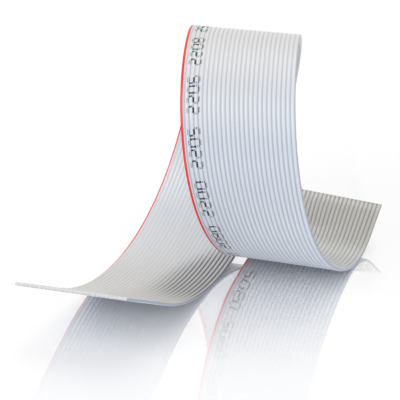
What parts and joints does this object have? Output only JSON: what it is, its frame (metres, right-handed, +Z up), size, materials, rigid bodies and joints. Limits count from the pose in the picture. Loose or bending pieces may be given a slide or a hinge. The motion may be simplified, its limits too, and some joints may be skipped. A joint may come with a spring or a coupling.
{
  "type": "ribbon cable",
  "caption": "Flat grey ribbon cable with a red edge wire, bent into a loose standing loop with both ends cut square and bare of connectors.",
  "frame": {"origin": "middle of the footprint, on the ground that the two folds rest on", "axes": "+Z up, +X along the fold lines from the red edge to the other edge, +Y away from the viewer"},
  "size_m": [0.0818, 0.0884, 0.0665],
  "materials": {
    "insulation": "satin PVC, ridged over each wire, with a red line inked on the first ridge",
    "tinned_copper": "freshly cut tinned strands"
  },
  "bodies": {
    "root": {"insulation": "insulation", "conductor_01": "tinned_copper", "conductor_02": "tinned_copper", "conductor_03": "tinned_copper", "conductor_04": "tinned_copper", "conductor_05": "tinned_copper", "conductor_06": "tinned_copper", "conductor_07": "tinned_copper", "conductor_08": "tinned_copper", "conductor_09": "tinned_copper", "conductor_10": "tinned_copper", "conductor_11": "tinned_copper", "conductor_12": "tinned_copper", "conductor_13": "tinned_copper", "conductor_14": "tinned_copper", "conductor_15": "tinned_copper", "conductor_16": "tinned_copper", "conductor_17": "tinned_copper", "conductor_18": "tinned_copper", "conductor_19": "tinned_copper", "conductor_20": "tinned_copper", "conductor_21": "tinned_copper", "conductor_22": "tinned_copper", "conductor_23": "tinned_copper", "conductor_24": "tinned_copper", "conductor_25": "tinned_copper"}
  },
  "joints": []
}
